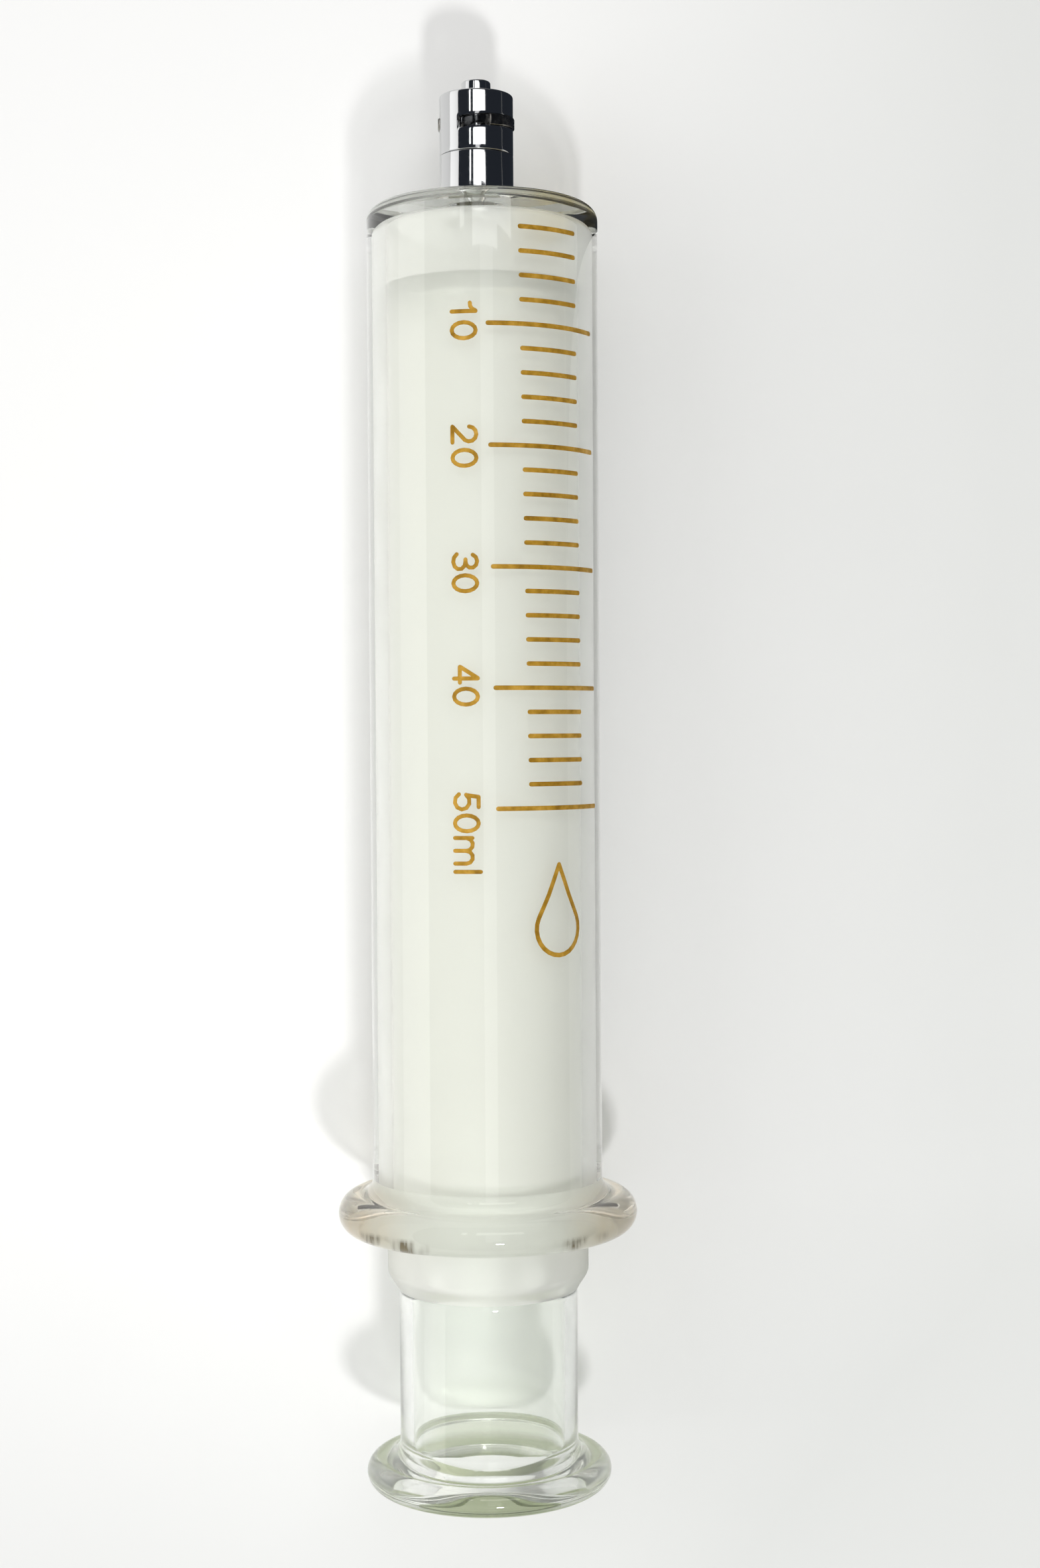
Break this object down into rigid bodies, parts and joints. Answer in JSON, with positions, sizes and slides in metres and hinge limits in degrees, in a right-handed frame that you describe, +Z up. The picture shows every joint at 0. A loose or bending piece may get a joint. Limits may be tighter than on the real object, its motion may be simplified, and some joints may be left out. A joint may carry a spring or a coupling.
{
  "type": "reusable glass syringe",
  "caption": "All-glass syringe with a ground barrel and hollow sliding plunger, wide round flanges, a fired amber scale and a plated metal locking tip.",
  "frame": {"origin": "under the centre of the bounding box, level with the lowest line of the barrel flange", "axes": "+Y along the syringe's axis towards the tip, +Z up through the side that carries the numerals, +X towards the graduation lines"},
  "size_m": [0.0416, 0.195, 0.0416],
  "materials": {
    "barrel_glass": "clear flame-polished outside over a ground, frosted bore",
    "plunger_glass": "ground and frosted on the sliding body, clear and polished on the neck and thumb flange",
    "tip_plating": "bright plated brass with faint turning lines",
    "key_metal": "dull, darkened",
    "cement": "matt, off-white",
    "scale_enamel": "fired amber stain enamel, satin"
  },
  "bodies": {
    "barrel_assembly": {"barrel": "barrel_glass", "base_ferrule": "tip_plating", "nozzle_cement": "cement", "luer_cone": "tip_plating", "lock_collar": "tip_plating", "lock_thread_key_1": "key_metal", "lock_thread_key_2": "key_metal", "mark_02_ml": "scale_enamel", "mark_04_ml": "scale_enamel", "mark_06_ml": "scale_enamel", "mark_08_ml": "scale_enamel", "mark_10_ml": "scale_enamel", "mark_12_ml": "scale_enamel", "mark_14_ml": "scale_enamel", "mark_16_ml": "scale_enamel", "mark_18_ml": "scale_enamel", "mark_20_ml": "scale_enamel", "mark_22_ml": "scale_enamel", "mark_24_ml": "scale_enamel", "mark_26_ml": "scale_enamel", "mark_28_ml": "scale_enamel", "mark_30_ml": "scale_enamel", "mark_32_ml": "scale_enamel", "mark_34_ml": "scale_enamel", "mark_36_ml": "scale_enamel", "mark_38_ml": "scale_enamel", "mark_40_ml": "scale_enamel", "mark_42_ml": "scale_enamel", "mark_44_ml": "scale_enamel", "mark_46_ml": "scale_enamel", "mark_48_ml": "scale_enamel", "mark_50_ml": "scale_enamel", "numeral_10_1_1": "scale_enamel", "numeral_10_2_0": "scale_enamel", "numeral_20_1_2": "scale_enamel", "numeral_20_2_0": "scale_enamel", "numeral_30_1_3": "scale_enamel", "numeral_30_2_0": "scale_enamel", "numeral_40_1_4": "scale_enamel", "numeral_40_2_0": "scale_enamel", "numeral_50_1_5": "scale_enamel", "numeral_50_2_0": "scale_enamel", "numeral_50_3_m": "scale_enamel", "numeral_50_4_l": "scale_enamel", "drop_emblem": "scale_enamel"},
    "plunger": {"plunger": "plunger_glass"}
  },
  "joints": [
    {"name": "plunger_slide", "type": "slide", "parent": "barrel_assembly", "child": "plunger", "axis": [0, 1, 0], "range_m": [-0.0717, 0.0083]}
  ]
}
